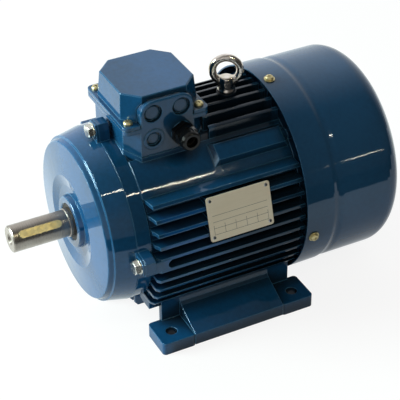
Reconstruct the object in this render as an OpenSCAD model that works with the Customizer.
// Foot-mounted, fan-cooled three-phase motor with a finned cast housing.
// Origin: centre of the four foot holes, on the floor.
// +Z up, the shaft runs along Y and its end points to -Y.
// Millimetres.

/* [Mounting sizes] */
// Height of the shaft centre above the floor
shaft_height = 112; // [110:1:118]
// Distance between the foot holes across the shaft
foot_hole_x = 190; // [184:1:200]
// Distance between the foot holes along the shaft
foot_hole_y = 140; // [132:1:146]
// Diameter of a foot hole
foot_hole_d = 12; // [9:0.5:14]
// From the front foot holes to the shoulder of the shaft
shoulder_c = 70; // [66:1:76]
// Diameter of the shaft end
shaft_d = 28; // [24:0.5:29]
// Length of the shaft end
shaft_end = 60; // [54:1:80]

/* [Shaft and key] */
// Width of the key
key_w = 8; // [6:0.5:10]
// Height of the key
key_h = 7; // [6:0.5:8]
// Depth of the keyway in the shaft
keyway_depth = 4; // [3:0.5:5]
// Length of the key
key_len = 45; // [32:1:48]
// From the end of the shaft to the key
key_inset = 6.5; // [3:0.5:9]
// Angle of the key above the right-hand side
key_angle = 42; // [0:1:90]
// Bore of the threaded centre hole
centre_hole_d = 8.5; // [6:0.5:10]
// Depth of the threaded centre hole
centre_hole_depth = 22; // [14:1:30]

/* [Frame housing] */
// Length of the finned housing
frame_len = 182; // [176:1:190]
// Bore of the housing that holds the stator
bore_r = 83; // [82:0.5:84]
// Wall of the housing at the foot of the fins
frame_wall = 5; // [4:0.5:6]
// Height of the fins
fin_h = 14.7; // [12:0.5:15]
// Thickness of a fin
fin_t = 3.4; // [2.6:0.2:4.4]
// Distance from one fin to the next
fin_pitch = 13.4; // [12.8:0.2:13.8]
// Fins on a side above the shaft centre
fins_up = 4; // [3:1:4]
// Fins on a side below the shaft centre
fins_down = 5; // [5:1:5]
// Fins on top on each side of the middle one
fins_top = 3; // [2:1:3]
// Height of the smooth band at each mouth over the foot of the fins
mouth_h = 3.5; // [2.5:0.5:5]
// Length of the smooth band at the front mouth
mouth_len = 15.8; // [13:0.2:18]
// Slope of the front ends of the fins
fin_slope = 3; // [1:0.5:5]
// How far the fins fill the two lower corners of their circle
fin_corner = 11; // [6:1:13]

/* [End shields] */
// Depth of the drive-end shield in front of the housing
shield_depth = 34.3; // [34:0.1:36]
// From the hub of the drive-end shield to the shaft shoulder
hub_setback = 3.9; // [2:0.1:6]
// Wall of the end shields
shield_wall = 5.5; // [4.5:0.5:6]
// Radius of the raised hub
hub_r = 26.8; // [25:0.2:29]
// Radius of the bolt circle
bolt_r = 100; // [98:0.5:101]
// Thickness of the lugs of the shields
ear_t = 2.8; // [2.2:0.2:4]
// Depth of the lugs of the housing behind them
lug_len = 11; // [9:0.5:14]
// Thread diameter of the shield bolts
bolt_d = 8; // [6:1:8]
// Across the flats of a shield bolt
bolt_af = 13; // [10:1:13]
// Height of a shield bolt's head
bolt_head = 5.3; // [4:0.1:6]

/* [Feet] */
// Width of the foot pads
foot_w = 38.1; // [34:0.1:42]
// Length of a foot
foot_len = 173.5; // [166:0.5:182]
// Thickness of the foot pads
foot_t = 14; // [10:1:18]
// Thickness of the upright wall
foot_wall = 6; // [5:0.5:8]
// Height of the sloping web above the pads
web_rise = 19; // [14:1:22]
// Length of each foot pad along the shaft
pad_len = 36.8; // [34:0.2:38]

/* [Fan cowl] */
// Length of the fan cowl
cowl_len = 119.5; // [112:0.5:130]
// Gap between the fins and the cowl
cowl_gap = 6.5; // [5.6:0.1:7.8]
// How much slimmer the cowl is at its crease than at its mouth
cowl_taper = 2; // [1.2:0.1:2.8]
// Sheet thickness of the cowl
cowl_t = 1.5; // [1:0.1:2]
// Radius of the rounded rear edge, measured along the shaft
cowl_round_y = 24; // [18:1:30]
// Radius of the rounded rear edge, measured across the shaft
cowl_round_r = 30; // [24:1:36]
// Overlap of the cowl over the housing
cowl_overlap = 2.7; // [2:0.1:6]
// Rings of air slots in the rear of the cowl
grille_rings = 5; // [3:1:6]
// Bars between the air slots of a ring
grille_bars = 8; // [6:1:12]

/* [Cooling fan] */
// Radius of the fan
fan_r = 92; // [84:1:98]
// Length of the fan blades
blade_len = 32; // [24:1:36]
// Number of fan blades
blades = 9; // [7:1:12]
// Diameter of the shaft inside the fan
fan_shaft_d = 25; // [22:0.5:26]

/* [Terminal box] */
// From the front of the housing to the middle of the box
box_from_front = 56.6; // [56:0.2:60]
// Half width of the box across the shaft
box_hx = 46; // [44:0.5:48]
// Half length of the box body along the shaft
box_hy = 42; // [41:0.5:43]
// Half length of the box flange along the shaft
flange_hy = 45.5; // [45:0.1:47]
// Height of the box seat above the shaft centre
box_seat_h = 91; // [90:0.5:92]
// Height of the box base above its seat
base_h = 26.6; // [24:0.2:30]
// Height of the lid
lid_h = 30.9; // [28:0.1:34]
// Thickness of the base and lid flanges
flange_t = 3.5; // [3:0.1:4.5]
// Half width of the flat top of the lid
lid_top_hx = 39.7; // [37:0.1:41]
// Half length of the flat top of the lid
lid_top_hy = 39; // [37:0.1:40]
// Cut corners of the lid
lid_corner = 15.6; // [14:0.2:18]
// How much wider the lid is at its foot, on each side
lid_draft = 2.6; // [1.4:0.1:3]
// Wall of the box
box_wall = 4.5; // [3.5:0.5:5]
// Half length of the cable entry panel
panel_hy = 28.5; // [26:0.5:30]
// Height of the entry panel below the top of the lid
panel_drop = 4.5; // [4:0.5:8]
// Half distance between two knock-outs
entry_pitch = 15; // [14:0.5:16]
// Bore of the cable gland
gland_bore_r = 6; // [4.5:0.5:6.5]
// Thread radius of the cable gland
gland_thread_r = 8; // [7.5:0.5:8.5]
// Length of the cable gland outside the box
gland_out = 22.4; // [18:0.2:28]

/* [Eyebolt and nameplate] */
// From the centre of the foot holes to the eyebolt
eye_y = 43; // [38:1:50]
// Radius of the middle of the eyebolt's ring
eye_ring_r = 14; // [12:0.5:18]
// Radius of the eyebolt's bar
eye_bar_r = 4; // [3:0.5:5]
// Angle of the eyebolt's ring about its shank
eye_turn = 63; // [0:1:180]
// Width of the nameplate along the shaft
plate_w = 70.3; // [60:0.1:78]
// Height of the nameplate
plate_h = 46.4; // [38:0.1:50]
// Thickness of the nameplate
plate_t = 0.8; // [0.5:0.1:1.2]
// Angle of the nameplate above the right-hand side
plate_angle = 16; // [12:1:20]
// Middle of the nameplate along the shaft
plate_y = 6; // [-6:0.5:14]

/* [Stator and rotor] */
// Length of the laminated cores
core_len = 120; // [100:1:126]
// Outer radius of the rotor
rotor_r = 51.6; // [48:0.1:54]
// Air gap between rotor and stator
air_gap = 0.5; // [0.3:0.1:0.8]
// Slots in the stator
stator_slots = 36; // [24:12:36]
// Bars in the rotor
rotor_bars = 28; // [20:4:28]
// Overhang of the windings beyond the core
winding_over = 26; // [20:1:26]

/* [Hidden] */
$fn = 96;

paint = "#174a7c";
zinc = "#cfc9a4";
steel = "#a9a6a0";
black = "#17181a";

// Clearances: between pieces that stay together, between pieces that turn, and around a screw in its thread
seat_gap = 0.02;
run_gap = 0.05;
thread_gap = 0.05;
hole_gap = 0.5;

// Stations along the shaft
y_shoulder = -(foot_hole_y / 2 + shoulder_c);
y_tip = y_shoulder - shaft_end;
y_hub = y_shoulder + hub_setback;
y_front = y_hub + shield_depth;
y_rear = y_front + frame_len;

// Radii and heights of the housing
root_r = bore_r + frame_wall;
tip_r = root_r + fin_h;
mouth_r = root_r + mouth_h;
corner_r = mouth_r + 0.5;
y_fins = y_front + mouth_len + 0.5;
saddle_r = mouth_r + 4.8;
z_seat = shaft_height - fins_down * fin_pitch - fin_t / 2;

// Bearings 30 x 62 x 16
brg_r = 31;
brg_in = 15;
brg_w = 16;
brg_pitch = (brg_r + brg_in) / 2;
ball_r = 4.76;
balls = 9;
y_brg = y_hub + 9.2;
hub_wall = 6.5;

// Rear shield, fan and cowl
y_brg2 = y_rear - 4;
rear_flange = 13;
y_fan = y_rear + 36;
y_shaft_rear = y_fan + 44;
y_cowl = y_rear - cowl_overlap;
y_cowl_rear = y_cowl + cowl_len;
y_cowl_screw = y_rear + 6.5;
cowl_angles = [84.5, -12.5, 192.5];
cowl_mouth_r = tip_r + cowl_gap + cowl_t;
cowl_crease_r = cowl_mouth_r - cowl_taper;
cowl_screw_d = 5;
cowl_washer_r = 5.6;
cowl_seat_r = cowl_out(y_cowl_screw - cowl_washer_r) + seat_gap;

// Feet
foot_out = foot_hole_x / 2 + 16.8;
foot_in = foot_out - foot_w;
wall_in = foot_in - 3.7;
wall_front = -(foot_len / 2 - 15.2);
wall_rear = foot_len / 2 - 10.7;
foot_screw_d = 8;
foot_screw_y = foot_hole_y / 2 - 24;
shelf_half = foot_screw_y + 14;
foot_screw_x = wall_in - 12;
shelf_in = wall_in - 24;
block_gap = 2;
shelf_t = 6;
z_shelf = z_seat - 7.6;
z_block = z_shelf - 7;

// Cores
core_y = y_front + (frame_len - core_len) / 2;
stator_in = rotor_r + air_gap;
slot_in = stator_in + 1.2;
slot_out = slot_in + 15;
seat_shaft_r = brg_in + 5;

// Terminal box
box_y = y_front + box_from_front;
z_box = shaft_height + box_seat_h;
gasket_t = 0.5;
z_base = z_box + gasket_t;
floor_t = 2.8;
z_flange = z_box + base_h;
z_lid = z_flange + gasket_t;
z_lid_top = z_lid + lid_h;
box_corner = box_hy - panel_hy;
z_panel = z_lid_top - panel_drop;
lobe_r = 13.5;
z_entry_up = z_panel - lobe_r;
z_entry_low = z_base + floor_t + gland_thread_r + 0.2;
lid_screw_x = box_hx - 8.5;
lid_screw_y = flange_hy - 7.5;
lead_hole = 17;
lug_top = 8.4;

module about_shaft() translate([0, 0, shaft_height]) rotate([-90, 0, 0]) children();

// A turned solid about the shaft, from points [radius, y]
module turned(profile) about_shaft() rotate_extrude($fn = 144) polygon(profile);

// Children stand with +Z pointing out of the shaft axis at angle a
module radial(a, y, r) translate([0, y, shaft_height]) rotate([0, 90 - a, 0]) translate([0, 0, r]) children();

// A plate square to the shaft, from an outline [across, radius] at angle a
module lug(outline, a, y, len) {
    translate([0, y, shaft_height]) rotate([0, 90 - a, 0]) rotate([90, 0, 0]) translate([0, 0, -len])
        linear_extrude(len) polygon(outline);
}

// Children repeat on the right and the left
module both_sides() {
    children();
    mirror([1, 0, 0]) children();
}

module along_x(x, y, z) translate([x, y, z]) rotate([0, 90, 0]) children();
module along_y(x, y, z) translate([x, y, z]) rotate([-90, 0, 0]) children();

module tube(ro, ri, h) {
    difference() {
        cylinder(r = ro, h = h);
        translate([0, 0, -1]) cylinder(r = ri, h = h + 2);
    }
}

module hexagon(af) circle(d = af / cos(30), $fn = 6);

module round_rect(hx, hy, r) {
    square([2 * hx - 2 * r, 2 * hy], center = true);
    square([2 * hx, 2 * hy - 2 * r], center = true);
    for (x = [-1, 1], y = [-1, 1]) translate([x * (hx - r), y * (hy - r)]) circle(r = r, $fn = 32);
}

module octagon(hx, hy, c) {
    polygon([
        [-hx + c, -hy], [hx - c, -hy], [hx, -hy + c], [hx, hy - c],
        [hx - c, hy], [-hx + c, hy], [-hx, hy - c], [-hx, -hy + c]
    ]);
}

module stadium(l, w) {
    square([l - w, w], center = true);
    for (s = [-1, 1]) translate([s * (l - w) / 2, 0]) circle(d = w, $fn = 48);
}

// A block of half sizes hx, hy at its foot whose four sides lean in by b over the height h
module leaning_block(hx, hy, h, b) {
    intersection() {
        rotate([90, 0, 0]) translate([0, 0, -hy]) linear_extrude(2 * hy)
            polygon([[-hx, -4], [hx, -4], [hx, 0], [hx - b, h], [b - hx, h], [-hx, 0]]);
        rotate([90, 0, 90]) translate([0, 0, -hx]) linear_extrude(2 * hx)
            polygon([[-hy, -4], [hy, -4], [hy, 0], [hy - b, h], [b - hy, h], [-hy, 0]]);
    }
}

// Screws stand with the underside of the head at z = 0 and the shank pointing down
module pan_screw(d, len, head_r, head_h) {
    translate([0, 0, -len]) cylinder(d = d, h = len + 0.5, $fn = 32);
    difference() {
        rotate_extrude($fn = 48) polygon([
            [0, 0], [head_r, 0], [head_r, head_h * 0.45], [head_r * 0.8, head_h * 0.85],
            [head_r * 0.4, head_h], [0, head_h]
        ]);
        for (a = [0, 90]) rotate([0, 0, a]) translate([-head_r * 0.55, -0.5, head_h * 0.5])
            cube([head_r * 1.1, 1, head_h]);
    }
}

module hex_bolt(d, len, af, head_h) {
    translate([0, 0, -len]) cylinder(d = d, h = len + 0.5, $fn = 32);
    intersection() {
        linear_extrude(head_h) hexagon(af);
        rotate_extrude($fn = 48) polygon([
            [0, 0], [af * 0.6, 0], [af * 0.6, head_h * 0.8], [af * 0.45, head_h], [0, head_h]
        ]);
    }
}

module socket_screw(d, len) {
    translate([0, 0, -len]) cylinder(d = d, h = len + 0.5, $fn = 32);
    difference() {
        cylinder(r = d * 0.8, h = d, $fn = 32);
        translate([0, 0, d * 0.5]) linear_extrude(d) hexagon(d * 0.75);
    }
}

// ---------------------------------------------------------------- housing

lug_outline = [
    [-11, root_r - 2], [-8.6, bolt_r + 1.5], [-6, bolt_r + lug_top],
    [6, bolt_r + lug_top], [8.6, bolt_r + 1.5], [11, root_r - 2]
];
lug_angles = [0, 90, 180, 270];

// Plates that cross the housing, one for each fin
module fin_plates() {
    y_top = box_y + flange_hy + 1.5;
    for (k = [-fins_down : fins_up]) {
        translate([-tip_r - 1, y_front, shaft_height + k * fin_pitch - fin_t / 2])
            cube([2 * tip_r + 2, frame_len, fin_t]);
    }
    for (k = [-fins_top : fins_top]) {
        translate([k * fin_pitch - fin_t / 2, y_top, shaft_height]) cube([fin_t, y_rear - y_top, tip_r + 1]);
        translate([k * fin_pitch - fin_t / 2, y_front, shaft_height - tip_r - 1])
            cube([fin_t, frame_len, tip_r + 1]);
    }
}

// Room that the fins fill, out to a given radius
module fin_room(r) {
    turned([
        [root_r / 2, y_fins], [root_r, y_fins], [r, y_fins + fin_slope],
        [r, y_rear - 0.6], [root_r / 2, y_rear - 0.6]
    ]);
}

// The fins end on a circle, and towards the feet on two fuller corners that share its side and bottom
module fins() {
    intersection() {
        union() {
            fin_room(tip_r);
            both_sides() translate([fin_corner, 0, -fin_corner]) fin_room(tip_r - fin_corner);
        }
        fin_plates();
    }
}

// The bare panels between the last side fin and the first top fin
module corner_panels() {
    a_side = asin(fins_up * fin_pitch / root_r);
    a_top = acos(fins_top * fin_pitch / root_r);
    ring = [
        [root_r - 1, y_fins - 1], [corner_r, y_fins - 1],
        [corner_r, y_rear - 0.6], [root_r - 1, y_rear - 0.6]
    ];
    intersection() {
        turned(ring);
        both_sides() along_y(0, y_front, shaft_height) linear_extrude(frame_len) polygon([
            [0, 0], 2 * root_r * [cos(a_side), -sin(a_side)], 2 * root_r * [cos(a_top), -sin(a_top)]
        ]);
    }
}

// The saddle that the terminal box stands on, with its flat seat
module box_saddle() {
    intersection() {
        turned([
            [root_r - 1, box_y - box_hy - 1], [saddle_r, box_y - box_hy - 1],
            [saddle_r, box_y + box_hy + 1], [root_r - 1, box_y + box_hy + 1]
        ]);
        translate([0, box_y, shaft_height]) linear_extrude(box_seat_h) base_outline(-0.3);
    }
}

// Threaded bosses behind the side lugs, which close one gap between fins
module side_bosses() {
    intersection() {
        turned([[root_r - 1, y_front], [tip_r + 0.6, y_front], [tip_r + 0.6, y_rear], [root_r - 1, y_rear]]);
        both_sides() difference() {
            translate([root_r - 8, y_front + 2, shaft_height - fin_pitch])
                cube([2 * fin_h, boss_len, fin_pitch]);
            along_x(root_r - 20, y_front + boss_len + 4, shaft_height - fin_pitch / 2)
                cylinder(d = fin_pitch - fin_t, h = 20 + 2 * fin_h);
        }
    }
}

// The rails under the lower corners that stand on the shelves of the feet, with a cast block at each end
// that keeps the foot's shelf between them
module foot_rails() {
    rail_w = wall_in - 0.3 - shelf_in;
    rail_top = z_seat + fin_t + 4;
    both_sides() {
        translate([shelf_in, -shelf_half, z_shelf]) cube([rail_w, 2 * shelf_half, rail_top - z_shelf]);
        translate([shelf_in, y_fins + fin_slope, z_block])
            cube([rail_w, -shelf_half - block_gap - y_fins - fin_slope, rail_top - z_block]);
        translate([shelf_in, shelf_half + block_gap, z_block])
            cube([rail_w, y_cowl - block_gap - shelf_half - block_gap, rail_top - z_block]);
    }
}

module frame_housing() {
    color(paint) difference() {
        union() {
            turned([
                [bore_r, y_front], [mouth_r, y_front], [mouth_r, y_fins - 1.5],
                [root_r, y_fins + 1], [root_r, y_rear], [bore_r, y_rear]
            ]);
            corner_panels();
            fins();
            box_saddle();
            side_bosses();
            foot_rails();
            for (a = lug_angles) lug(lug_outline, a, y_front, lug_len);
            for (a = corner_pad_angles) radial(a, y_rear - 2 - corner_pad_len / 2, corner_r - 1)
                leaning_block(12.5, corner_pad_len / 2, 6.5, 4);
            radial(plate_angle, plate_y, 0) translate([-plate_h / 2 + 1.5, -plate_w / 2 + 1.5, root_r - 2])
                cube([plate_h - 3, plate_w - 3, tip_r - root_r + 2]);
            translate([0, eye_y, shaft_height + root_r - 2]) cylinder(r = 10, h = tip_r - root_r + 3.3);
            for (a = rear_bolt_angles) radial(a, y_rear - 12, rear_bolt_r) rotate([-90, 0, 0])
                cylinder(r = 6.5, h = 11.7);
        }
        turned([[0, y_front - 1], [bore_r, y_front - 1], [bore_r, y_rear + 1], [0, y_rear + 1]]);
        for (a = lug_angles) radial(a, y_front, bolt_r) rotate([-90, 0, 0]) translate([0, 0, -1])
            cylinder(d = bolt_d + 2 * thread_gap, h = lug_len + 1.5, $fn = 48);
        for (a = rear_bolt_angles) radial(a, y_rear, rear_bolt_r) rotate([90, 0, 0]) translate([0, 0, -1])
            cylinder(d = 6 + 2 * thread_gap, h = 12, $fn = 48);
        both_sides() for (s = [-1, 1]) translate([foot_screw_x, s * foot_screw_y, z_shelf - 1])
            cylinder(d = foot_screw_d + 2 * thread_gap, h = foot_screw_d + 3, $fn = 48);
        translate([-lead_hole, box_y - lead_hole, shaft_height + bore_r - 8])
            cube([2 * lead_hole, 2 * lead_hole, 30]);
        for (x = [-1, 1], y = [-1, 1]) translate([x * base_screw_x, box_y + y * base_screw_y, z_box - 8])
            cylinder(d = 5 + 2 * thread_gap, h = 10, $fn = 48);
        translate([0, eye_y, shaft_height + tip_r + 1.3 - 13])
            cylinder(d = 8 + 2 * thread_gap, h = 20, $fn = 48);
        for (x = [-1, 1], y = [-1, 1]) radial(plate_angle, plate_y + x * (plate_w / 2 - 4), tip_r - 4)
            translate([y * (plate_h / 2 - 4), 0, 0]) cylinder(r = 1.3, h = 8, $fn = 32);
    }
}
corner_pad_angles = [52, 128];
corner_pad_len = 82;
rear_bolt_angles = [52, 128, 245, 295];
rear_bolt_r = root_r + 2;
boss_len = 28;
gasket_hx = sqrt(pow(saddle_r, 2) - pow(box_seat_h, 2)) - 1.5;
gasket_hy = box_hy - 4;
base_screw_x = gasket_hx - 6;
base_screw_y = gasket_hy - 9;

// ---------------------------------------------------------------- feet

// One foot, standing on the right
module foot() {
    z1 = 1;
    wall_out = wall_in + foot_wall;
    difference() {
        union() {
            // the two pads that stand on the floor
            for (y = [-1, 1]) translate([(foot_in + foot_out) / 2, y * (foot_len - pad_len) / 2, 0])
                linear_extrude(foot_t) round_rect(foot_w / 2, pad_len / 2, 4);
            // the web between them, which slopes up to the wall
            translate([0, foot_len / 2 - pad_len + 1, 0]) rotate([90, 0, 0])
                linear_extrude(foot_len - 2 * pad_len + 2) polygon([
                    [wall_in, z1], [foot_out, z1], [foot_out, foot_t],
                    [wall_out + 4, foot_t + web_rise - 4], [wall_out + 1.2, foot_t + web_rise - 1],
                    [wall_out, foot_t + web_rise + 3], [wall_in, foot_t + web_rise + 3]
                ]);
            // the upright wall, and the shelf under the rail of the housing
            translate([wall_in, wall_front, z1]) cube([foot_wall, wall_rear - wall_front, z_seat - z1]);
            translate([0, shelf_half, 0]) rotate([90, 0, 0]) linear_extrude(2 * shelf_half)
                polygon([
                    [wall_in + 1, z_shelf], [shelf_in, z_shelf], [shelf_in, z_shelf - shelf_t],
                    [wall_in - 4, z_shelf - shelf_t], [wall_in, z_shelf - shelf_t - 4],
                    [wall_in + 1, z_shelf - shelf_t - 4]
                ]);
        }
        for (y = [-1, 1]) translate([foot_hole_x / 2, y * foot_hole_y / 2, -1])
            cylinder(d = foot_hole_d, h = foot_t + 2);
        for (s = [-1, 1]) translate([foot_screw_x, s * foot_screw_y, z_shelf - shelf_t - 1])
            cylinder(d = foot_screw_d + hole_gap, h = shelf_t + 2, $fn = 48);
    }
}

module foot_right() color(paint) foot();
module foot_left() color(paint) mirror([1, 0, 0]) foot();

module foot_screws() {
    color(zinc) both_sides() for (s = [-1, 1]) translate([foot_screw_x, s * foot_screw_y, z_shelf - shelf_t])
        rotate([180, 0, 0]) socket_screw(foot_screw_d, shelf_t + foot_screw_d + 1);
}

// ---------------------------------------------------------------- drive-end shield

module drive_end_shield() {
    y_ledge = y_front - shield_depth * 0.657;
    y_edge = y_hub + 6;
    r_ledge = mouth_r - 4.75;
    color(paint) difference() {
        union() {
            turned([
                [bore_r - seat_gap, y_front + 8], [bore_r - seat_gap, y_front], [mouth_r, y_front],
                [r_ledge, y_ledge], [r_ledge - 2, y_ledge - 0.4],
                [r_ledge - 3.6, y_edge + 1.2], [r_ledge - 4.6, y_edge],
                [48.6, y_hub + 2.4], [37, y_hub + 5.1], [hub_r + 1.6, y_hub + 5.6], [hub_r, y_hub + 0.8],
                [hub_r - 0.8, y_hub], [20.6, y_hub], [seal_r + seat_gap, y_hub + 1.1],
                [seal_r + seat_gap, y_brg - 1], [seal_r - 2.5, y_brg - 1], [seal_r - 2.5, y_brg],
                [brg_r + seat_gap, y_brg], [brg_r + seat_gap, y_brg + brg_w + 1],
                [brg_r + hub_wall, y_brg + brg_w + 1],
                [brg_r + hub_wall, y_hub + 5.1 + shield_wall], [bore_r - 10, y_edge + shield_wall],
                [bore_r - 5, y_edge + shield_wall + 5], [bore_r - 5, y_front + 8]
            ]);
            for (a = lug_angles) lug(lug_outline, a, y_front - ear_t, ear_t);
            // ribs inside
            for (a = [22.5 : 45 : 337.5]) radial(a, 0, 0) translate([-2, y_edge + shield_wall - 1, brg_r + 2])
                cube([4, 9, bore_r - brg_r - 6]);
        }
        for (a = lug_angles) radial(a, y_front, bolt_r) rotate([90, 0, 0]) translate([0, 0, -1])
            cylinder(d = bolt_d + hole_gap, h = ear_t + 2, $fn = 48);
    }
}
seal_r = 19.3;
washer_t = 1.6;

module drive_shield_washers() {
    color(zinc) for (a = lug_angles) radial(a, y_front - ear_t, bolt_r) rotate([90, 0, 0])
        tube(bolt_d, bolt_d / 2 + 0.2, washer_t, $fn = 48);
}

module drive_shield_bolts() {
    color(zinc) for (a = lug_angles) radial(a, y_front - ear_t - washer_t, bolt_r) rotate([90, 0, 0])
        rotate([0, 0, 15 + a]) hex_bolt(bolt_d, ear_t + washer_t + lug_len - 1, bolt_af, bolt_head);
}

module shaft_seal() {
    y0 = y_brg - 8;
    color("#3a2f22") turned([
        [seal_r, y0], [seal_r, y0 + 7], [brg_in + run_gap, y0 + 7],
        [brg_in + run_gap, y0 + 5.5], [brg_in + 2, y0 + 5],
        [brg_in + run_gap, y0 + 2], [brg_in + run_gap, y0]
    ]);
}

// ---------------------------------------------------------------- rear-end shield

module rear_end_shield() {
    y_end = y_rear + rear_flange;
    r_out = mouth_r + 1;
    color(paint) difference() {
        union() {
            turned([
                [bore_r - seat_gap, y_rear - 8], [bore_r - seat_gap, y_rear],
                [r_out, y_rear], [r_out, y_end - 4],
                [r_out - 6, y_end], [brg_r + hub_wall + 6, y_end + 3], [brg_r + hub_wall, y_end + 5],
                [brg_in + 3, y_end + 5], [brg_in + 3, y_brg2 + brg_w + 1.2],
                [brg_r + seat_gap, y_brg2 + brg_w + 1.2],
                [brg_r + seat_gap, y_brg2 - 1], [brg_r + hub_wall, y_brg2 - 1], [brg_r + hub_wall, y_end - 4],
                [bore_r - 8, y_end - 6], [bore_r - 5, y_end - 9], [bore_r - 5, y_rear - 8]
            ]);
            for (a = cowl_angles) radial(a, y_cowl_screw, 0) translate([-7, -5.5, r_out - 4])
                cube([14, 11, cowl_in(y_cowl_screw) - 0.3 - r_out + 4]);
            for (a = rear_bolt_angles) radial(a, y_rear, rear_bolt_r) rotate([-90, 0, 0])
                cylinder(r = 6.5, h = 8);
            for (a = [0 : 45 : 315]) radial(a, 0, 0) translate([-2, y_rear + 1, brg_r + 2])
                cube([4, 8, bore_r - brg_r - 6]);
        }
        for (a = rear_bolt_angles) radial(a, y_rear, rear_bolt_r) rotate([-90, 0, 0]) translate([0, 0, -1])
            cylinder(d = 6 + hole_gap, h = 30, $fn = 48);
        for (a = rear_bolt_angles) radial(a, y_rear + 8, rear_bolt_r) rotate([-90, 0, 0])
            cylinder(r = 6.4, h = 20);
        for (a = cowl_angles) radial(a, y_cowl_screw, cowl_in(y_cowl_screw) - 11)
            cylinder(d = cowl_screw_d + 2 * thread_gap, h = 20, $fn = 48);
    }
}

module rear_shield_bolts() {
    color(zinc) for (a = rear_bolt_angles) radial(a, y_rear + 8, rear_bolt_r) rotate([-90, 0, 0])
        hex_bolt(6, 17, 10, 4);
}

module preload_washer() {
    y0 = y_brg2 + brg_w;
    color(steel) turned([[brg_r - 4, y0], [brg_r - 0.3, y0], [brg_r - 0.3, y0 + 1.2], [brg_r - 4, y0 + 1.2]]);
}

// ---------------------------------------------------------------- stator

// One stator slot, outline [radius, across]
module slot_outline(gap) {
    w_in = 2 * PI * (slot_in + 2) / stator_slots * 0.5 - gap;
    w_out = 2 * PI * slot_out / stator_slots * 0.55 - gap;
    polygon([
        [slot_in + gap, -w_in / 2], [slot_out - gap, -w_out / 2],
        [slot_out - gap, w_out / 2], [slot_in + gap, w_in / 2]
    ]);
}

module stator_core() {
    color(steel) difference() {
        turned([
            [stator_in, core_y], [bore_r - seat_gap, core_y],
            [bore_r - seat_gap, core_y + core_len], [stator_in, core_y + core_len]
        ]);
        about_shaft() for (i = [0 : stator_slots - 1]) rotate([0, 0, i * 360 / stator_slots])
            translate([0, 0, core_y - 1]) linear_extrude(core_len + 2) slot_outline(0);
    }
}

module stator_windings() {
    r0 = slot_in + 1;
    r1 = slot_out + 3;
    color("#a5562a") {
        about_shaft() for (i = [0 : stator_slots - 1]) rotate([0, 0, i * 360 / stator_slots])
            translate([0, 0, core_y - 3]) linear_extrude(core_len + 6) slot_outline(0.3);
        for (s = [0, 1]) {
            y0 = core_y + s * core_len + (s == 0 ? -2 : 2);
            d = s == 0 ? -1 : 1;
            turned([
                [r0, y0], [r1 + 2, y0], [r1 + 4, y0 + d * winding_over * 0.4],
                [r1 + 1, y0 + d * (winding_over - 4)],
                [r1 - 4, y0 + d * (winding_over - 2)], [r0 + 4, y0 + d * (winding_over - 2)],
                [r0, y0 + d * (winding_over - 6)]
            ]);
        }
    }
}

// ---------------------------------------------------------------- rotor

module shaft() {
    r = shaft_d / 2;
    rf = fan_shaft_d / 2;
    y_core0 = core_y - 3;
    y_core1 = core_y + core_len;
    color(steel) difference() {
        about_shaft() rotate([0, 0, -key_angle]) rotate_extrude($fn = 144) polygon([
            [0, y_tip], [r - 1.2, y_tip], [r, y_tip + 1.2], [r, y_shoulder], [brg_in - 0.3, y_shoulder],
            [brg_in, y_shoulder + 0.5], [brg_in, y_brg + brg_w], [brg_in + 3, y_brg + brg_w],
            [brg_in + 3, y_core0 - 4], [seat_shaft_r + 2, y_core0 - 4], [seat_shaft_r + 2, y_core0 + 3],
            [seat_shaft_r, y_core0 + 3], [seat_shaft_r, y_core1],
            [brg_in + 3, y_core1 + 2], [brg_in + 3, y_brg2],
            [brg_in, y_brg2], [brg_in, y_brg2 + brg_w + 3], [rf, y_brg2 + brg_w + 5],
            [rf, y_shaft_rear - 1], [rf - 1, y_shaft_rear], [0, y_shaft_rear]
        ]);
        radial(key_angle, key_mid, r - keyway_depth) linear_extrude(20) rotate([0, 0, 90])
            stadium(key_len, key_w);
        along_y(0, y_tip, shaft_height) rotate_extrude($fn = 48) polygon([
            [0, -1], [centre_hole_d / 2 + 2.6, -1], [centre_hole_d / 2, 2.6],
            [centre_hole_d / 2, centre_hole_depth],
            [0, centre_hole_depth + 2.5]
        ]);
        for (y = clip_y) turned([[rf - 0.9, y], [rf + 1, y], [rf + 1, y + 1.3], [rf - 0.9, y + 1.3]]);
    }
}
key_mid = y_tip + key_inset + key_len / 2;
fan_hub_len = 30;
clip_y = [y_fan - 1.3, y_fan + fan_hub_len];

module shaft_key() {
    color("#b9a978") radial(key_angle, key_mid, shaft_d / 2 - keyway_depth)
        linear_extrude(key_h) rotate([0, 0, 90]) stadium(key_len - 0.1, key_w - 0.04);
}

module rotor_core() {
    color(steel) difference() {
        turned([
            [seat_shaft_r + seat_gap, core_y], [rotor_r, core_y],
            [rotor_r, core_y + core_len], [seat_shaft_r + seat_gap, core_y + core_len]
        ]);
        about_shaft() for (i = [0 : rotor_bars - 1]) rotate([0, 0, i * 360 / rotor_bars])
            translate([rotor_r - 5, 0, core_y - 1]) cylinder(r = 3.2, h = core_len + 2, $fn = 24);
    }
}

module rotor_cage() {
    color("#b8bcc0") {
        about_shaft() for (i = [0 : rotor_bars - 1]) rotate([0, 0, i * 360 / rotor_bars])
            translate([rotor_r - 5, 0, core_y - 1]) cylinder(r = 3.15, h = core_len + 2, $fn = 24);
        for (s = [0, 1]) {
            y0 = s == 0 ? core_y - 10 : core_y + core_len;
            turned([[rotor_r - 13, y0], [rotor_r - 1, y0], [rotor_r - 1, y0 + 10], [rotor_r - 13, y0 + 10]]);
            about_shaft() for (i = [0 : 6]) rotate([0, 0, i * 360 / 7 + 10])
                translate([rotor_r - 12, -1.5, s == 0 ? core_y - 17 : core_y + core_len + 9]) cube([9, 3, 8]);
        }
    }
}

// ---------------------------------------------------------------- ball bearings

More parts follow.
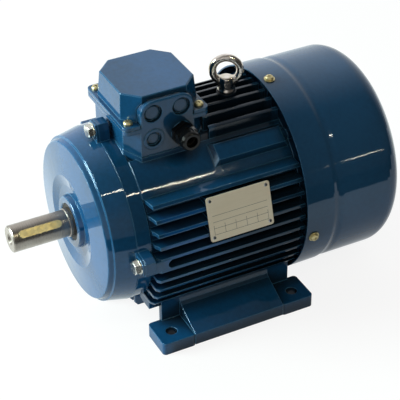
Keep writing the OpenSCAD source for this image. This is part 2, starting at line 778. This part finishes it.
module bearing_outer(y) {
    land = brg_pitch + 3.2;
    color(steel) difference() {
        turned([
            [land, y], [brg_r - 0.8, y], [brg_r, y + 0.8], [brg_r, y + brg_w - 0.8],
            [brg_r - 0.8, y + brg_w], [land, y + brg_w]
        ]);
        race(y);
    }
}

module bearing_inner(y) {
    land = brg_pitch - 3.2;
    color(steel) difference() {
        turned([
            [brg_in + seat_gap, y], [land, y], [land, y + brg_w], [brg_in + seat_gap, y + brg_w]
        ]);
        race(y);
    }
}

module race(y) {
    about_shaft() translate([0, 0, y + brg_w / 2]) rotate_extrude($fn = 96) translate([brg_pitch, 0])
        circle(r = ball_r + run_gap, $fn = 48);
}

module bearing_balls(y) {
    color("#c9cbcd") about_shaft() translate([0, 0, y + brg_w / 2]) {
        for (i = [0 : balls - 1]) rotate([0, 0, i * 360 / balls]) translate([brg_pitch, 0, 0])
            sphere(r = ball_r, $fn = 48);
        difference() {
            translate([0, 0, -3.4]) tube(brg_pitch + 1.4, brg_pitch - 1.4, 6.8);
            for (i = [0 : balls - 1]) rotate([0, 0, i * 360 / balls]) translate([brg_pitch, 0, 0])
                sphere(r = ball_r + run_gap, $fn = 48);
        }
    }
}

module drive_bearing_outer() bearing_outer(y_brg);
module drive_bearing_inner() bearing_inner(y_brg);
module drive_bearing_balls() bearing_balls(y_brg);
module rear_bearing_outer() bearing_outer(y_brg2);
module rear_bearing_inner() bearing_inner(y_brg2);
module rear_bearing_balls() bearing_balls(y_brg2);

// ---------------------------------------------------------------- fan and cowl

module cooling_fan() {
    hub = fan_shaft_d / 2 + 8;
    color(black) difference() {
        union() {
            turned([
                [fan_shaft_d / 2 + seat_gap, y_fan], [hub + 3, y_fan],
                [fan_r - 14, y_fan + 3], [fan_r, y_fan + 9],
                [fan_r, y_fan + 11.5], [fan_r - 15, y_fan + 6], [hub + 3, y_fan + 3.5],
                [hub, y_fan + fan_hub_len], [fan_shaft_d / 2 + seat_gap, y_fan + fan_hub_len]
            ]);
            for (i = [0 : blades - 1]) radial(i * 360 / blades + 12, 0, 0) rotate([0, -90, 0])
                translate([0, 0, -1.4]) linear_extrude(2.8) polygon([
                    [hub - 2, y_fan + 2], [fan_r - 14, y_fan + 4.5], [fan_r - 1, y_fan + 10],
                    [fan_r - 1, y_fan + 8 + blade_len * 0.8], [fan_r - 12, y_fan + 8 + blade_len],
                    [hub + 14, y_fan + 6 + blade_len * 0.8], [hub - 2, y_fan + blade_len * 0.7]
                ]);
        }
        along_y(0, y_fan - 1, shaft_height)
            cylinder(r = fan_shaft_d / 2 + seat_gap, h = fan_hub_len + blade_len);
    }
}

module fan_circlips() {
    rf = fan_shaft_d / 2;
    color(steel) for (y = clip_y) difference() {
        turned([[rf - 0.85, y + 0.02], [rf + 3, y + 0.02], [rf + 3, y + 1.28], [rf - 0.85, y + 1.28]]);
        along_y(0, y - 1, shaft_height) rotate([0, 0, 45]) translate([0, -4, 0]) cube([rf + 8, 8, 4]);
    }
}

// Outer and inner radius of the cowl near its mouth
function cowl_out(y) = cowl_mouth_r - 0.3 * (y - y_cowl) / 30;
function cowl_in(y) = cowl_out(y) - cowl_t;
cowl_crease_y = y_cowl + 37.5;
cowl_crease_half = 7;
cowl_body_r = cowl_crease_r + 0.7;

// The pressed crease: a soft valley that takes the mouth down to the slimmer body
function cowl_crease(u) = let (side_r = u < 0 ? cowl_out(cowl_crease_y) : cowl_body_r)
    side_r - (side_r - cowl_crease_r) * (1 + cos(180 * u)) / 2;

// The cowl's outer or inner outline, set back by t
function cowl_curve(t) = concat(
    [[cowl_mouth_r - t, y_cowl]],
    [for (u = [-1 : 0.25 : 1]) [cowl_crease(u) - t, cowl_crease_y + u * cowl_crease_half]],
    [for (i = [0 : 12]) let (a = i * 90 / 12) [
        cowl_body_r - cowl_round_r + (cowl_round_r - t) * cos(a),
        y_cowl_rear - cowl_round_y + (cowl_round_y - t) * sin(a)
    ]]
);

function reversed(v) = [for (i = [len(v) - 1 : -1 : 0]) v[i]];

module fan_cowl() {
    grille_r = cowl_body_r - cowl_round_r - 2;
    step = (grille_r - 14) / grille_rings;
    color(paint) difference() {
        turned(concat(
            cowl_curve(0), [[0, y_cowl_rear], [0, y_cowl_rear - cowl_t]], reversed(cowl_curve(cowl_t))
        ));
        difference() {
            for (i = [0 : grille_rings - 1]) about_shaft() translate([0, 0, y_cowl_rear - 5])
                tube(14 + (i + 1) * step - 2, 14 + i * step + 2, 10);
            about_shaft() for (i = [0 : grille_bars - 1]) rotate([0, 0, i * 360 / grille_bars])
                translate([0, -2.5, y_cowl_rear - 6]) cube([grille_r + 5, 5, 12]);
        }
        for (a = cowl_angles) radial(a, y_cowl_screw, cowl_crease_r - 8)
            cylinder(d = cowl_screw_d + hole_gap, h = 20, $fn = 48);
    }
}

module cowl_washers() {
    color("#d8c98c") for (a = cowl_angles) radial(a, y_cowl_screw, cowl_seat_r)
        tube(cowl_washer_r, cowl_screw_d / 2 + 0.2, 1, $fn = 48);
}

module cowl_screws() {
    color("#d8c98c") for (a = cowl_angles) radial(a, y_cowl_screw, cowl_seat_r + 1)
        pan_screw(cowl_screw_d, 11.5, cowl_washer_r - 1.2, 3);
}

// ---------------------------------------------------------------- terminal box

// The raised panel that carries the cable entries, standing on the right
module entry_panel(grow) {
    t = box_wall + 4.5;
    c = 1.4;
    module layer(x, inset) {
        r = lobe_r + grow - inset;
        translate([x, 0, 0]) rotate([90, 0, 90]) linear_extrude(0.1) {
            for (s = [-1, 1]) translate([box_y + s * (panel_hy - lobe_r), z_entry_up])
                circle(r = r, $fn = 32);
            translate([box_y - panel_hy - grow + inset, z_flange - 12 - grow])
                square([2 * (panel_hy + grow - inset), z_entry_up - z_flange + 12 + grow]);
            translate([box_y - panel_hy + lobe_r, z_flange - 12 - grow])
                square([2 * (panel_hy - lobe_r), z_panel - z_flange + 12 + 2 * grow - inset]);
        }
    }
    hull() {
        layer(box_hx - t - grow, 0);
        layer(box_hx - c, 0);
    }
    hull() {
        layer(box_hx - c, 0);
        layer(box_hx - 0.1 + grow, grow > 0 ? 0 : c);
    }
}

// Ring recess of a knock-out, cut from the right
module knock_out(y, z, r_hole, r_disc, depth) {
    along_x(box_hx - depth, y, z) difference() {
        cylinder(r = r_hole, h = depth + 5);
        translate([0, 0, -1]) cylinder(r = r_disc, h = depth * 0.45 + 1);
    }
}

module base_outline(inset) octagon(box_hx - inset, box_hy - inset, box_corner - 0.58 * inset);

module terminal_box_base() {
    z_low = z_box - 14;
    color(paint) difference() {
        union() {
            translate([0, box_y, z_low]) linear_extrude(z_flange - z_low) base_outline(0);
            translate([0, box_y, z_flange - flange_t - 1]) linear_extrude(flange_t + 1)
                round_rect(box_hx, flange_hy, 6);
            both_sides() {
                entry_panel(0);
                for (s = [-1, 1]) along_x(box_hx - 1, box_y + s * entry_pitch, z_entry_low)
                    cylinder(r = 11, h = 1.8);
            }
        }
        // inside of the box
        translate([0, box_y, z_base + floor_t]) linear_extrude(base_h - gasket_t - floor_t)
            base_outline(box_wall);
        // room for the gland's locknut, and for one at each other low entry
        both_sides() for (s = [-1, 1]) intersection() {
            along_x(box_hx - box_wall - 5, box_y + s * entry_pitch, z_entry_low) cylinder(r = 11.4, h = 5);
            translate([0, box_y, z_base]) linear_extrude(base_h) base_outline(box_wall - 1);
        }
        // the underside: a flat seat, and a skirt that follows the saddle
        translate([-box_hx - 5, box_y - box_hy - 5, z_low - 10]) intersection() {
            cube([2 * box_hx + 10, 2 * box_hy + 10, z_base - z_low + 10]);
            translate([box_hx + 5, 0, shaft_height - z_low + 10]) rotate([-90, 0, 0])
                cylinder(r = saddle_r + 0.3, h = 2 * box_hy + 10, $fn = 144);
        }
        translate([-lead_hole, box_y - lead_hole, z_base - 5]) cube([2 * lead_hole, 2 * lead_hole, 20]);
        both_sides() {
            for (s = [-1, 1]) knock_out(box_y + s * entry_pitch, z_entry_up, 9.5, 7, 4.6);
            knock_out(box_y - entry_pitch, z_entry_low, 8, 5.5, 3);
        }
        mirror([1, 0, 0]) knock_out(box_y + entry_pitch, z_entry_low, 8, 5.5, 3);
        along_x(box_hx - 20, box_y + entry_pitch, z_entry_low)
            cylinder(r = gland_thread_r + thread_gap, h = 30);
        for (x = [-1, 1], y = [-1, 1]) {
            translate([x * lid_screw_x, box_y + y * lid_screw_y, z_flange - flange_t - 0.6])
                cylinder(d = 5 + 2 * thread_gap, h = flange_t + 2, $fn = 48);
            translate([x * base_screw_x, box_y + y * base_screw_y, z_base - 5])
                cylinder(d = 5 + hole_gap, h = 12, $fn = 48);
        }
    }
}

module base_gasket() {
    color(black) difference() {
        translate([-gasket_hx, box_y - gasket_hy, z_box]) cube([2 * gasket_hx, 2 * gasket_hy, gasket_t]);
        translate([-lead_hole, box_y - lead_hole, z_box - 1]) cube([2 * lead_hole, 2 * lead_hole, 3]);
        for (x = [-1, 1], y = [-1, 1]) translate([x * base_screw_x, box_y + y * base_screw_y, z_box - 1])
            cylinder(d = 5 + hole_gap, h = 3, $fn = 48);
    }
}

module base_screws() {
    color(zinc) for (x = [-1, 1], y = [-1, 1])
        translate([x * base_screw_x, box_y + y * base_screw_y, z_base + floor_t]) pan_screw(5, 10, 4.4, 3);
}

module panel_gap_cut() both_sides() {
    translate([box_hx - box_wall - 4.8, box_y - panel_hy - 0.3, z_flange - 10])
        cube([box_wall + 10, 2 * panel_hy + 0.6, z_entry_up - z_flange + 10]);
    entry_panel(0.3);
}

module lid_gasket() {
    color(black) difference() {
        translate([0, box_y, z_flange]) linear_extrude(gasket_t) difference() {
            round_rect(box_hx, flange_hy, 6);
            octagon(lid_top_hx - 3, lid_top_hy - 3, lid_corner - 1);
        }
        panel_gap_cut();
        for (x = [-1, 1], y = [-1, 1]) translate([x * lid_screw_x, box_y + y * lid_screw_y, z_flange - 1])
            cylinder(d = 5 + hole_gap, h = 3, $fn = 48);
    }
}

// The lid's dome between two heights, set in by t
module lid_dome(z0, z1, t) {
    hull() {
        translate([0, box_y, z0]) linear_extrude(0.1)
            octagon(lid_top_hx + lid_draft - t, lid_top_hy + lid_draft - t, lid_corner - 0.58 * t);
        translate([0, box_y, z1 - 0.9]) linear_extrude(0.1)
            octagon(lid_top_hx + 0.3 - t, lid_top_hy + 0.3 - t, lid_corner - 0.58 * t);
        translate([0, box_y, z1 - 0.1]) linear_extrude(0.1)
            octagon(lid_top_hx - 0.5 - t, lid_top_hy - 0.5 - t, lid_corner - 0.58 * t);
    }
}

module terminal_box_lid() {
    color(paint) difference() {
        union() {
            lid_dome(z_lid, z_lid_top, 0);
            translate([0, box_y, z_lid]) linear_extrude(flange_t) round_rect(box_hx, flange_hy, 6);
        }
        lid_dome(z_lid - 1, z_lid_top - 3, 3);
        panel_gap_cut();
        for (x = [-1, 1], y = [-1, 1]) translate([x * lid_screw_x, box_y + y * lid_screw_y, z_lid - 1])
            cylinder(d = 5 + hole_gap, h = flange_t + 2, $fn = 48);
    }
}

module lid_screws() {
    color("#d8c98c") for (x = [-1, 1], y = [-1, 1])
        translate([x * lid_screw_x, box_y + y * lid_screw_y, z_lid + flange_t])
            pan_screw(5, 2 * flange_t + 1, 4.6, 3.4);
}

module terminal_board() {
    color("#4b2d1e") difference() {
        translate([0, box_y - board_w / 2, z_base + floor_t]) {
            translate([-board_l / 2, 0, 4]) cube([board_l, board_w, board_t]);
            for (s = [-1, 1]) translate([s * (board_l / 2 - 6) - 4, 0, 0]) cube([8, board_w, 5]);
        }
        for (x = [-1, 0, 1], y = [-1, 1]) translate([x * stud_dx, box_y + y * stud_dy, z_base])
            cylinder(d = stud_d + 2 * thread_gap, h = 30, $fn = 32);
    }
}

board_l = 54;
board_w = 34;
board_t = 7;
stud_d = 5;
stud_dx = 16;
stud_dy = 9;

module terminal_studs() {
    z0 = z_base + floor_t + 4 + board_t;
    color("#c9a24a") for (x = [-1, 0, 1], y = [-1, 1]) translate([x * stud_dx, box_y + y * stud_dy, 0]) {
        translate([0, 0, z0 - board_t]) cylinder(d = stud_d, h = board_t + 15, $fn = 32);
        translate([0, 0, z0]) linear_extrude(3) hexagon(8);
        translate([0, 0, z0 + 5]) linear_extrude(3) hexagon(8);
    }
}

module terminal_links() {
    z0 = z_base + floor_t + board_t + 7.2;
    color("#c9a24a") for (x = [-1, 0, 1]) translate([x * stud_dx, box_y, z0])
        linear_extrude(1.6) difference() {
            rotate([0, 0, 90]) stadium(2 * stud_dy + 10, 9);
            for (y = [-1, 1]) translate([0, y * stud_dy]) circle(d = stud_d + 0.3, $fn = 32);
        }
}

// ---------------------------------------------------------------- cable gland

gland_y = box_y + entry_pitch;
gland_x = box_hx + 0.8;
gland_out_r = gland_thread_r + 2.5;

module gland_body() {
    color(black) along_x(gland_x, gland_y, z_entry_low) difference() {
        union() {
            translate([0, 0, -box_wall - 6.8]) cylinder(r = gland_thread_r, h = box_wall + 8);
            linear_extrude(5) intersection() {
                hexagon(2 * gland_thread_r + 6);
                circle(r = gland_thread_r + 4.2);
            }
            cylinder(r = gland_thread_r + 0.4, h = 11);
        }
        translate([0, 0, -box_wall - 8]) cylinder(r = gland_bore_r, h = 40);
    }
}

module gland_dome_nut() {
    h = gland_out - 5.8;
    color(black) along_x(gland_x + 5.3, gland_y, z_entry_low) difference() {
        union() {
            intersection() {
                linear_extrude(7) hexagon(2 * gland_thread_r + 5);
                cylinder(r = gland_thread_r + 3.6, h = 7);
            }
            rotate_extrude() polygon([
                [0, 6], [gland_out_r + 0.1, 6], [gland_out_r, h - 3], [gland_out_r - 0.9, h - 0.8],
                [gland_out_r - 1.9, h], [0, h]
            ]);
        }
        translate([0, 0, -1]) cylinder(r = gland_thread_r + 0.45, h = 7.4);
        translate([0, 0, 6]) cylinder(r1 = gland_thread_r + 0.4, r2 = gland_bore_r, h = h - 8);
        translate([0, 0, -1]) cylinder(r = gland_bore_r, h = h + 2);
    }
}

module gland_seal() {
    color("#2a2a2a") along_x(gland_x + 11.1, gland_y, z_entry_low) difference() {
        cylinder(r1 = gland_thread_r + 0.1, r2 = gland_thread_r - 0.9, h = 4);
        translate([0, 0, -1]) cylinder(r = gland_bore_r, h = 10);
    }
}

module gland_locknut() {
    color(black) along_x(box_hx - box_wall - 4.5, gland_y, z_entry_low) difference() {
        intersection() {
            linear_extrude(4.4) hexagon(20.6);
            cylinder(r = 11, h = 4.4);
        }
        translate([0, 0, -1]) cylinder(r = gland_thread_r + thread_gap, h = 10);
    }
}

// ---------------------------------------------------------------- eyebolt and nameplate

module eyebolt() {
    z0 = shaft_height + tip_r + 1.3;
    collar_h = 6;
    z_eye = z0 + collar_h + eye_ring_r + 3.7;
    color("#d7d9dc") translate([0, eye_y, 0]) {
        translate([0, 0, z0 - 12]) cylinder(d = 8, h = 14, $fn = 48);
        translate([0, 0, z0]) cylinder(r = 9.5, h = 2.5);
        translate([0, 0, z0 + 2.5]) cylinder(r1 = 9.5, r2 = 6, h = collar_h - 1);
        difference() {
            translate([0, 0, z0 + 3]) cylinder(r1 = 6.5, r2 = eye_bar_r + 0.8, h = collar_h + 3);
            translate([0, 0, z_eye]) rotate([90, 0, eye_turn]) translate([0, 0, -20])
                cylinder(r = eye_ring_r - 3, h = 40);
        }
        translate([0, 0, z_eye]) rotate([90, 0, eye_turn]) rotate_extrude() translate([eye_ring_r, 0])
            circle(r = eye_bar_r, $fn = 48);
        // the flat bottom of the eye
        translate([0, 0, z_eye]) rotate([0, 0, eye_turn]) intersection() {
            rotate([90, 0, 0]) translate([0, 0, -eye_bar_r * 0.8])
                cylinder(r = eye_ring_r, h = eye_bar_r * 1.6);
            translate([-eye_ring_r, -eye_bar_r, -eye_ring_r])
                cube([2 * eye_ring_r, 2 * eye_bar_r, eye_ring_r * 0.5]);
        }
    }
}

module nameplate() {
    color("#c9c4b4") radial(plate_angle, plate_y, tip_r) difference() {
        linear_extrude(plate_t) round_rect(plate_h / 2, plate_w / 2, 2.5);
        for (x = [-1, 1], y = [-1, 1]) translate([x * (plate_h / 2 - 4), y * (plate_w / 2 - 4), -1])
            cylinder(r = 1.35, h = 3, $fn = 32);
    }
}

module nameplate_rivets() {
    color(steel) for (x = [-1, 1], y = [-1, 1]) radial(plate_angle, plate_y + y * (plate_w / 2 - 4), tip_r)
        translate([x * (plate_h / 2 - 4), 0, 0]) {
            translate([0, 0, -3.5]) cylinder(r = 1.2, h = 4, $fn = 32);
            translate([0, 0, plate_t]) cylinder(r1 = 2, r2 = 1.3, h = 0.8, $fn = 32);
            cylinder(r = 1.2, h = plate_t + 0.2, $fn = 32);
        }
}

frame_housing();
foot_right();
foot_left();
foot_screws();
drive_end_shield();
drive_shield_bolts();
drive_shield_washers();
shaft_seal();
rear_end_shield();
rear_shield_bolts();
preload_washer();
stator_core();
stator_windings();
shaft();
shaft_key();
rotor_core();
rotor_cage();
drive_bearing_outer();
drive_bearing_inner();
drive_bearing_balls();
rear_bearing_outer();
rear_bearing_inner();
rear_bearing_balls();
cooling_fan();
fan_circlips();
fan_cowl();
cowl_screws();
cowl_washers();
terminal_box_base();
base_gasket();
base_screws();
terminal_box_lid();
lid_gasket();
lid_screws();
terminal_board();
terminal_studs();
terminal_links();
gland_body();
gland_dome_nut();
gland_seal();
gland_locknut();
eyebolt();
nameplate();
nameplate_rivets();
